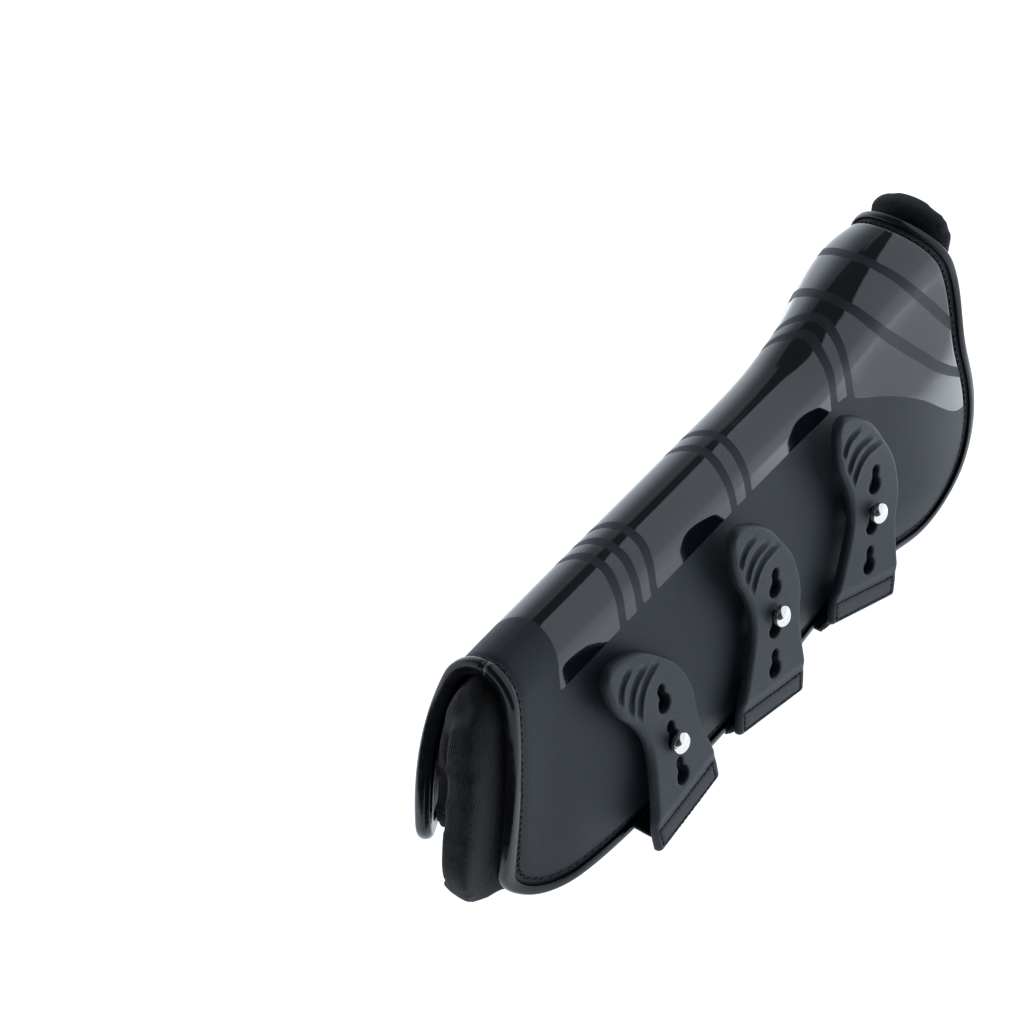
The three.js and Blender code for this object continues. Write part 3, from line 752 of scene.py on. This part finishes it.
def flat_patch(name, side, start, end, upper, lower, depth, thickness, look):
    """A flat patch on the skin between two places along the spine and two arcs from it, with soft edges."""
    rows, columns = 80, 14
    at, arc = np.meshgrid(np.linspace(start, end, rows), np.linspace(upper, lower, columns), indexing="ij")
    rim = np.minimum(np.minimum(at - start, end - at), np.minimum(np.abs(arc - upper), np.abs(arc - lower)))
    thin = 0.35 * thickness * (1 - smoothstep(rim, 0, 1.2))
    reach = side * arc / girth_at(at)
    return sheet(name, skin(at, reach, depth + thin), skin(at, reach, depth + thickness - thin), look)


def build_hook_and_loop():
    first, thick = HOOK_LOOP["upper"], HOOK_LOOP["thickness"]
    depths = {"hook": SHELL_THICKNESS + CLEARANCE, "loop": LINER["outer"] - CLEARANCE - thick}
    for name, side in (("left", -1), ("right", 1)):
        for kind, depth in depths.items():
            piece = flat_patch(f"{kind}_tape_{name}", side, HOOK_LOOP["from"], HOOK_LOOP["to"], first,
                               first + HOOK_LOOP["width"], depth, thick, LOOKS["pile"])
            settle(piece, "boot", "hook_loop", f"{kind}_strip_{name}")


# ---------- frames on the wall ----------
def wall_frame(place):
    """A 4 by 4 matrix on the skin: x across, y up the wall, z out of it."""
    out = skin_normal(place["at"], place["reach"])
    up = unit(np.array([0, 0, 1.0]) - out * out[2])
    matrix = np.eye(4)
    matrix[:3, 0], matrix[:3, 1], matrix[:3, 2] = np.cross(up, out), up, out
    matrix[:3, 3] = skin_point(place["at"], place["reach"])
    return matrix


def shifted(x, y, z):
    matrix = np.eye(4)
    matrix[:3, 3] = x, y, z
    return matrix


def tab_frame(place):
    """On a tab: x across, y up it, z out of it, from the first release hole in the outer face."""
    hole = -TAB["pitch"] + (TAB["travel"] if place["locked"] else 0)
    turn = np.eye(4)
    for angle, axis in ((place["tilt"], "X"), (place["turn"], "Y"), (place["lean"], "Z")):
        turn = turn @ np.array(Matrix.Rotation(math.radians(angle), 4, axis))
    half = TAB["thickness"] / 2
    return wall_frame(place) @ shifted(0, 0, place["rise"] + half) @ turn @ shifted(0, -hole, half)


def moved(points, matrix):
    return np.asarray(points) @ matrix[:3, :3].T + matrix[:3, 3]


# ---------- tabs ----------
def spline(points, steps):
    """A smooth line through points, as a uniform Catmull-Rom curve."""
    points = np.asarray(points, float)
    last = len(points) - 1
    line = []
    for k in range(last):
        p0, p1, p2, p3 = points[max(k - 1, 0)], points[k], points[k + 1], points[min(k + 2, last)]
        t = np.linspace(0, 1, steps, endpoint=False)[:, None]
        line.append(hermite(p1, (p2 - p0) / 2, p2, (p3 - p1) / 2, t))
    return np.concatenate(line + [points[-1:]])


def bowed(a, b, c, steps=10):
    """A quadratic curve from a to c, pulled towards b."""
    t = np.linspace(0, 1, steps)[:, None]
    a, b, c = (np.array(p, float) for p in (a, b, c))
    return (1 - t) ** 2 * a + 2 * t * (1 - t) * b + t * t * c


def tab_outline():
    foot = -TAB["foot"]
    sides = spline(TAB_EDGE, 12)
    left = bowed(TAB_EDGE[-1], (-23.3, foot), (-20.5, foot))
    right = bowed((20.5, foot), (23.3, foot), TAB_EDGE[0])
    return resample(np.concatenate([sides, left[1:], right]), 0.7)[:-1]


def keyhole(y):
    low = math.asin(TAB["slot"] / TAB["release"])
    high = math.asin(TAB["slot"] / TAB["lock"])
    big = np.linspace(math.pi / 2 + low, math.pi * 2.5 - low, 34)
    small = np.linspace(-math.pi / 2 + high, math.pi * 1.5 - high, 22)
    line = [(TAB["release"] * math.cos(a), y + TAB["release"] * math.sin(a)) for a in big]
    line += [(TAB["lock"] * math.cos(a), y + TAB["travel"] + TAB["lock"] * math.sin(a)) for a in small]
    closed = np.array(line + line[:1])
    return resample(closed, 0.6)[:-1]


RIBS = [  # three crescent ridges near the tip, each from its upper end round to its lower end
    ((-12.6, 26.4), (-21.4, 24.0), (-22.6, 16.6)),
    ((-3.4, 20.9), (-15.8, 18.8), (-18.6, 8.2)),
    ((4.2, 17.2), (-10.8, 14.8), (-14.8, 2.4)),
]
RIB_DROP, RIB_REACH = 0.95, 4.2
RIB_CREST = {"height": 0.5, "before": 0.45, "half": 0.5}
RIM, HOLE_RIM, BACK_RIM = 1.9, 0.7, 0.7
STEP = {"from": -41.4, "to": -46.8, "drop": 0.95}
PANEL = {"half": 20.4, "top": -47.8, "bottom": -55.2}  # the sewn rectangle at the foot
PANEL_BOX = [(side * PANEL["half"], PANEL[end]) for side, end in (
    (-1, "bottom"), (-1, "top"), (1, "top"), (1, "bottom"), (-1, "bottom"))]
PANEL_GROOVE = {"depth": 0.4, "half": 0.75}


def rib_line(rib):
    middle = np.array(rib[1]) * 2 - (np.array(rib[0]) + np.array(rib[2])) / 2
    middle = 0.55 * np.array(rib[1]) + 0.45 * middle
    return resample(bowed(rib[0], middle, rib[2], 30), 0.6)


def rib_offsets(line, offsets):
    """Copies of a rib's line moved to its outer side."""
    way = unit(np.gradient(line, axis=0))
    side = np.stack([way[:, 1], -way[:, 0]], axis=-1)
    return np.concatenate([line + side * offset for offset in offsets])


def inside_loop(x, y, loop):
    """Whether each point (x, y) is inside a closed loop."""
    result = np.zeros(np.shape(x), bool)
    for (ax, ay), (bx, by) in zip(loop, np.roll(loop, -1, axis=0)):
        crosses = (ay > y) != (by > y)
        with np.errstate(divide="ignore", invalid="ignore"):
            at_x = (bx - ax) * (y - ay) / (by - ay) + ax
        result ^= crosses & (x < at_x)
    return result


def closed_line(loop):
    return np.concatenate([loop, loop[:1]])


def rounded(distance, radius):
    """The height of a rounded rim under the flat face, at a distance from its edge."""
    t = np.clip(distance / radius, 0, 1)
    return -radius * (1 - np.sqrt(1 - (1 - t) ** 2))


def tab_heights(points):
    """The outer face's height over each point of the tab, without its rims."""
    x, y = points[:, 0], points[:, 1]
    height = -STEP["drop"] * (1 - smoothstep(y, STEP["to"], STEP["from"]))
    for rib in RIBS:
        line = rib_line(rib)
        gap = np.linalg.norm(points[:, None] - line[None], axis=-1)
        nearest = gap.argmin(axis=1)
        way = np.gradient(line, axis=0)[nearest]
        side = np.stack([way[:, 1], -way[:, 0]], axis=-1)
        signed = np.sum((points - line[nearest]) * side, axis=-1) / np.linalg.norm(side, axis=1)
        along = nearest / (len(line) - 1)
        fade = smoothstep(along, 0, 0.22) * smoothstep(1 - along, 0, 0.18)
        fade = np.where((nearest == 0) | (nearest == len(line) - 1), 0, fade)
        drop = smoothstep(signed, -0.15, 0.45) * (1 - smoothstep(signed, 0.5, RIB_REACH))
        crest = RIB_CREST["height"] * np.exp(-(((signed + RIB_CREST["before"]) / RIB_CREST["half"]) ** 2))
        height = height + fade * (crest - RIB_DROP * drop)
    gap = distance_to_lines(x, y, [PANEL_BOX])
    return height - PANEL_GROOVE["depth"] * np.exp(-((gap / PANEL_GROOVE["half"]) ** 2))


def tab_mesh():
    """A tab's points and faces on its own axes."""
    outline, holes = tab_outline(), [keyhole(-k * TAB["pitch"]) for k in range(3)]
    edges, hole_lines = [closed_line(outline)], [closed_line(hole) for hole in holes]
    loops = [outline, *holes]

    def inside_tab(x, y):
        return inside_loop(x, y, outline) & ~np.any([inside_loop(x, y, hole) for hole in holes], axis=0)

    # Places for points, finest first, each set with how clear of the edges it stays.
    candidates = []
    for loop, offsets in [(outline, (0.1, 0.35, 0.75, 1.25, 1.9))] + [(h, (0.08, 0.3, 0.7)) for h in holes]:
        way = unit(np.roll(loop, -1, axis=0) - np.roll(loop, 1, axis=0))
        side = np.stack([-way[:, 1], way[:, 0]], axis=-1) * (1 if loop is outline else -1)
        candidates += [(loop + side * offset, 0.9 * offset) for offset in offsets]
    for rib in RIBS:
        candidates.append((rib_offsets(rib_line(rib), (-1.2, -0.6, -0.15, 0.15, 0.45, 0.9, 1.8)), 0.4))
    x = np.arange(-21.5, 21.6, 0.6)
    rows = [(y, 0.4) for y in np.arange(-47.2, -41.6, 0.5)]
    for end in ("top", "bottom"):
        rows += [(PANEL[end] + offset, 0.35) for offset in (-0.8, -0.35, 0, 0.35, 0.8)]
    candidates += [(np.stack([x, np.full_like(x, y)], axis=-1), clear) for y, clear in rows]
    grid_x, grid_y = np.meshgrid(np.arange(-29, 25, 0.95), np.arange(-57, 36, 0.95))
    grid_x = grid_x + 0.475 * (np.arange(grid_x.shape[0]) % 2)[:, None]
    candidates.append((np.stack([grid_x.ravel(), grid_y.ravel()], axis=-1), 0.6))

    points = np.concatenate(loops)
    for found, clear in candidates:
        x, y = found[:, 0], found[:, 1]
        keep = inside_tab(x, y) & (distance_to_lines(x, y, edges) >= clear)
        found = found[keep & (distance_to_lines(x, y, hole_lines) >= min(clear, 0.5))]
        tree = kdtree.KDTree(len(points))
        for k, point in enumerate(points):
            tree.insert((*point, 0), k)
        tree.balance()
        spacing = min(0.3, 0.8 * clear)
        apart = np.array([tree.find((*point, 0))[2] > spacing for point in found], bool)
        points = np.concatenate([points, found[apart]])

    ring_edges, start = [], 0
    for loop in loops:
        ring_edges += [(start + k, start + (k + 1) % len(loop)) for k in range(len(loop))]
        start += len(loop)
    places = [Vector(p) for p in points]
    flat, _, triangles, _, _, _ = geometry.delaunay_2d_cdt(places, ring_edges, [], 0, 1e-5)
    assert len(flat) == len(points)
    triangles = np.array(triangles)
    middle = points[triangles].mean(axis=1)
    triangles = triangles[inside_tab(middle[:, 0], middle[:, 1])]

    to_edge = distance_to_lines(points[:, 0], points[:, 1], edges)
    to_hole = distance_to_lines(points[:, 0], points[:, 1], hole_lines)
    top = tab_heights(points) + rounded(to_edge, RIM) + rounded(to_hole, HOLE_RIM)
    bottom = -TAB["thickness"] - rounded(to_edge, BACK_RIM) - rounded(to_hole, 0.4)
    count = len(points)
    solid = np.concatenate([np.column_stack([points, top]), np.column_stack([points, bottom])])
    faces = [tuple(t) for t in triangles] + [tuple(count + v for v in t[::-1]) for t in triangles]
    faces += [(a, count + a, count + b, b) for a, b in ring_edges]
    return solid, faces


def panel_stitches():
    """The sewn rectangle on a tab's foot, as short stitches and a few knots, on the tab's own axes."""
    half, top = PANEL["half"], PANEL["top"]
    depth = -STEP["drop"] - 0.35
    paths = []
    for (ax, ay), (bx, by) in zip(PANEL_BOX[:-1], PANEL_BOX[1:]):
        count = max(2, round(math.hypot(bx - ax, by - ay) / 2.6))
        for k in range(count):
            t = np.linspace((k + 0.12) / count, (k + 0.88) / count, 6)
            rise = 0.42 * np.sin(np.linspace(0, np.pi, 6)) ** 0.5
            wobble = RANDOM.uniform(-0.15, 0.15)
            x = ax + (bx - ax) * t + wobble * (ay != by)
            y = ay + (by - ay) * t + wobble * (ax != bx)
            paths.append(np.column_stack([x, y, depth + rise]))
    for x in (-half, half, half - 3.1):
        knot = np.linspace(0, 4 * np.pi, 20)
        paths.append(np.column_stack([x + 0.55 * np.cos(knot), top + 0.45 * np.sin(knot),
                                      depth + 0.3 + 0.15 * np.sin(knot * 1.5)]))
    return paths


# ---------- studs ----------
def turned_mesh(profile, sides=56):
    """A turned body from [radius, height] points, on its own axis: its points and faces."""
    points, faces, rings = [], [], []
    for radius, height in profile:
        if radius < 1e-6:
            rings.append([len(points)] * sides)
            points.append((0, 0, height))
        else:
            rings.append(list(range(len(points), len(points) + sides)))
            angles = np.arange(sides) * 2 * np.pi / sides
            points += [(radius * math.cos(a), radius * math.sin(a), height) for a in angles]
    for lower, upper in zip(rings[:-1], rings[1:]):
        for k in range(sides):
            after = (k + 1) % sides
            face = list(dict.fromkeys([lower[k], lower[after], upper[after], upper[k]]))
            if len(face) > 2:
                faces.append(face)
    return np.array(points, float), faces


def arc_profile(centre, radius, start, end, steps=6):
    """Points on a circle of the profile, by angles in degrees."""
    angles = np.radians(np.linspace(start, end, steps))
    return [(centre[0] + radius * math.cos(a), centre[1] + radius * math.sin(a)) for a in angles]


FILLET = 0.6
WASHER = {"top": 1.5, "radius": 5.5}
STUD_CAP = {"bottom": -5.1, "radius": 4.5, "wall": 0.8}


def stud_profile(height):
    neck, head = STUD["neck"], STUD["head"]
    top = height + STUD["height"]
    dome = [(head * math.cos(a), height + 1.5 + (top - height - 1.5) * math.sin(a))
            for a in np.radians(np.linspace(0, 90, 14))]
    under = arc_profile((head - FILLET, height + FILLET), FILLET, -90, 0)
    flare = arc_profile((neck + FILLET, height - FILLET), FILLET, 180, 90)
    shank = [(0, -STUD["tail"]), (neck, -STUD["tail"]), (neck, height - 0.7)]
    return [*shank, *flare, *under, *dome[:-1], (0, top)]


def washer_profile():
    bore, low, high, radius = STUD["neck"] + CLEARANCE, CLEARANCE, WASHER["top"], WASHER["radius"]
    rim = arc_profile((radius - 0.5, high - 0.5), 0.5, 0, 90)
    under = [(bore, low), (radius - 0.2, low), (radius, low + 0.2)]
    return [*under, *rim, (bore + 0.3, high), (bore, high - 0.3), (bore, low)]


def cap_profile():
    bore, high = STUD["neck"] + CLEARANCE, -SHELL_THICKNESS - CLEARANCE
    low, radius, wall = STUD_CAP["bottom"], STUD_CAP["radius"], STUD_CAP["wall"]
    crown = arc_profile((radius - FILLET, low + FILLET), FILLET, -90, 0)
    return [(0, low), *crown, (radius, high), (bore, high), (bore, low + wall), (0, low + wall)]


def turned_piece(name, profile, matrix, material):
    points, faces = turned_mesh(profile)
    return make_mesh(name, moved(points, matrix), faces, material)


# ---------- straps ----------
def strap_line(place, w):
    """A strap's middle surface at share w of its half width, from inside the +Y wall to behind the tab's
    foot, with the places where it leaves the ground and meets the tab."""
    across = w * STRAP["width"] / 2
    at = place["strap"] + across
    girth = girth_at(at)
    half = STRAP["thickness"] / 2
    sewn = SHELL_THICKNESS + CLEARANCE + half

    def on_wall(up, depth):
        return skin(at, -(1 - up / girth), depth)
    line = [on_wall(up, sewn) for up in (26, 21, 16, 11)]
    line += [on_wall(6.5, sewn + 1.65), on_wall(4, sewn + 1.65)]
    wall_foot = line[-1]
    matrix = tab_frame(place)
    behind = -TAB["thickness"] - CLEARANCE - half

    def on_tab(up, x=across):
        return moved(np.array([x, -TAB["foot"] + up, behind]), matrix)
    tab_foot, tab_up = on_tab(STRAP["bend_below"]), on_tab(STRAP["bend_below"] + 1)
    middle = on_tab(STRAP["bend_below"], 0)
    bend = STRAP["bend"]
    landing = np.array([wall_foot[0], wall_foot[1] - bend, half])
    leaving = np.array([tab_foot[0], middle[1] + bend, half])
    down = unit(wall_foot - line[-2]) * bend
    upward = unit(tab_up - tab_foot) * bend * 0.8
    outward = np.array([0, -bend * 1.3, 0])
    line += [hermite(wall_foot, down, landing, outward, k / 5) for k in range(1, 6)]
    line += [landing + (leaving - landing) * k / 4 for k in range(1, 5)]
    line += [hermite(leaving, outward, tab_foot, upward, k / 7) for k in range(1, 8)]
    line += [on_tab((STRAP["bend_below"] + STRAP["end"]) / 2), on_tab(STRAP["end"])]
    return np.array(line), leaving, tab_foot


def build_strap(place, number):
    """Woven elastic: lengthwise ribs and thin selvedges."""
    shares = np.linspace(-1, 1, 49)
    lines = np.array([spline(strap_line(place, w)[0], 5) for w in shares])  # across, along, xyz
    along, across = np.gradient(lines, axis=1), np.gradient(lines, axis=0)
    normal = unit(np.cross(along, across))
    width = np.abs(shares)[:, None, None]
    half = STRAP["thickness"] / 2 * np.sqrt(1 - np.clip((width - 0.94) / 0.075, 0, 1) ** 2)
    ribs = 0.09 * np.cos(shares * np.pi * 12)[:, None, None]
    upper, lower = lines + normal * (half + ribs), lines - normal * (half + ribs)
    name = f"elastic_strap_{number}"
    piece = sheet(name, upper, lower, LOOKS["elastic"])
    _, leaving, tab_foot = strap_line(place, 0.0)
    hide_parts(f"strap_{number}")
    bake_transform(piece)


def build_fastening(place, number, tab_solid):
    body = f"tab_{number}"
    matrix, wall = tab_frame(place), wall_frame(place)
    points, faces = tab_solid
    tab = make_mesh(f"rubber_tab_{number}", moved(points, matrix), faces, LOOKS["rubber"])
    settle(tab, body, "tab_rubber", body)
    sewn = [moved(path, matrix) for path in panel_stitches()]
    settle(threads(f"tab_stitching_{number}", sewn, 0.3, LOOKS["thread"]), body, "tab_rubber")
    build_strap(place, number)
    height = place["rise"] + TAB["thickness"] + STUD["free"]
    for name, profile, slot, look, node in (
        ("stud_button", stud_profile(height), "stud_metal", "metal", "stud"),
        ("stud_disc", washer_profile(), "washer", "nylon", "stud_washer"),
        ("stud_back", cap_profile(), "stud_metal", "metal", "stud_cap"),
    ):
        piece = turned_piece(f"{name}_{number}", profile, wall, LOOKS[look])
        settle(piece, "boot", slot, f"{node}_{number}")
    girth = girth_at(place["strap"])
    depth = SHELL_THICKNESS + STRAP["thickness"] + 2 * CLEARANCE
    start, end = (place["strap"] + side * ANCHOR["half"] for side in (-1, 1))
    anchor = flat_patch(f"strap_backing_{number}", -1, start, end, girth - ANCHOR["upper"],
                        girth - ANCHOR["lower"], depth, ANCHOR["thickness"], LOOKS["elastic"])
    settle(anchor, "boot", "elastic", f"strap_anchor_{number}")


# ---------- stage, light and camera ----------
FLOOR_TINT = (1, 1.07, 1.15, 1)
PATCH = {"centre": (0.30, -0.13, 0), "radius": 0.17, "strength": 3.0}  # lights the lobe from the floor
FLAG = {"low": (-0.42, -0.15), "high": (-0.185, 0.16)}
ROOM_TINT = (0.86, 0.945, 1.04, 1)
# Directions in degrees: azimuth from +Y towards +X, elevation from level.
SOFTBOX = {"azimuth": 130, "height": 22, "edge": 0.66, "soft": 0.012, "strength": 1.24}
BACKDROP = {"low": 0, "high": 42, "top": 43.5, "strength": 1.5, "upper": 0.42}
DARK_SIDE = {"azimuth": 233, "from": 0.2, "to": 0.75, "share": 0.08}
UNLIT = 0.13


def stage_plane(name, low, high, height, look):
    """A level rectangle of the studio between two corners, in metres."""
    mesh = bpy.data.meshes.new(name)
    corners = [(low[0], low[1]), (high[0], low[1]), (high[0], high[1]), (low[0], high[1])]
    mesh.from_pydata([(x, y, 0) for x, y in corners], [], [(0, 1, 2, 3)])
    plane = add_piece(name, mesh, look.material)
    plane.location.z = height
    return plane


def build_stage():
    """The white floor, and a black card beside the near end that keeps the bead and the liner dark. The card
    is seen only in reflections."""
    look = Look("white_floor", Roughness=0.6, Emission_Color=FLOOR_TINT, Emission_Strength=1)
    look.colour(look.mix(look.noise(60, 2), (0.48, 0.48, 0.48), (0.52, 0.52, 0.52)))
    look.glow(PATCH["centre"], PATCH["radius"], 1, PATCH["strength"])
    stage_plane("floor", (-3, -3), (3, 3), -0.0004, look)
    look = Look("near_flag", Roughness=0.9)
    look.colour(look.mix(look.noise(40, 2), (0.01, 0.01, 0.01), (0.009, 0.009, 0.009)))
    flag = stage_plane("near_flag", FLAG["low"], FLAG["high"], 0.0006, look)
    flag.visible_camera = flag.visible_shadow = False


def build_light():
    """A white studio: a wide softbox on one side, a backdrop that fades upwards, and a dark side."""
    world = bpy.data.worlds.new("studio")
    bpy.context.scene.world = world
    studio = Graph(world)
    way = studio.node("ShaderNodeTexCoord").outputs["Generated"]

    def towards(azimuth, height=0):
        turn, lift = math.radians(azimuth), math.radians(height)
        aim = (math.sin(turn) * math.cos(lift), math.cos(turn) * math.cos(lift), math.sin(lift))
        node = studio.node("ShaderNodeVectorMath", way, aim)
        node.operation = "DOT_PRODUCT"
        return node.outputs["Value"]

    edge, soft = SOFTBOX["edge"], SOFTBOX["soft"]
    softbox = studio.span(towards(SOFTBOX["azimuth"], SOFTBOX["height"]), edge - soft, edge + soft, 0,
                          SOFTBOX["strength"])
    height = studio.node("ShaderNodeSeparateXYZ", way).outputs["Z"]
    low, high, top = (math.sin(math.radians(BACKDROP[end])) for end in ("low", "high", "top"))
    backdrop = studio.maths(
        "MULTIPLY", studio.span(height, low, high, BACKDROP["strength"], BACKDROP["upper"]),
        studio.span(height, top, top + 0.02, 1, UNLIT / BACKDROP["upper"]))
    dark = towards(DARK_SIDE["azimuth"])
    room = studio.span(dark, DARK_SIDE["from"], DARK_SIDE["to"], 1, DARK_SIDE["share"])
    light = studio.maths("MAXIMUM", softbox, studio.maths("MULTIPLY", backdrop, room))
    studio.feed_named(studio.nodes["Background"], {"Strength": light, "Color": ROOM_TINT})
    bpy.context.scene.view_settings.view_transform = "Standard"


CAMERA = {
    "place": (-0.54034, -0.30444, 0.65750), "right": (0.5946, -0.8040, 0), "up": (0.5513, 0.4077, 0.7279),
    "forward": (0.5852, 0.4328, -0.6857), "lens": 74.99, "sensor": 36, "clip": 0.01,
}


def build_camera():
    camera = bpy.data.cameras.new("camera")
    camera.lens, camera.sensor_width, camera.clip_start = CAMERA["lens"], CAMERA["sensor"], CAMERA["clip"]
    eye = bpy.data.objects.new("camera", camera)
    axes = Matrix((CAMERA["right"], CAMERA["up"], [-v for v in CAMERA["forward"]])).transposed().to_4x4()
    axes.translation = CAMERA["place"]
    eye.matrix_world = axes
    bpy.context.scene.collection.objects.link(eye)
    bpy.context.scene.camera = eye


build_camera()
build_stage()
build_light()
build_shell()
build_binding()
build_edge_stitching()
build_liner()
build_hook_and_loop()
tab_solid = tab_mesh()
for number, place in enumerate(PLACES, start=1):
    build_fastening(place, number, tab_solid)
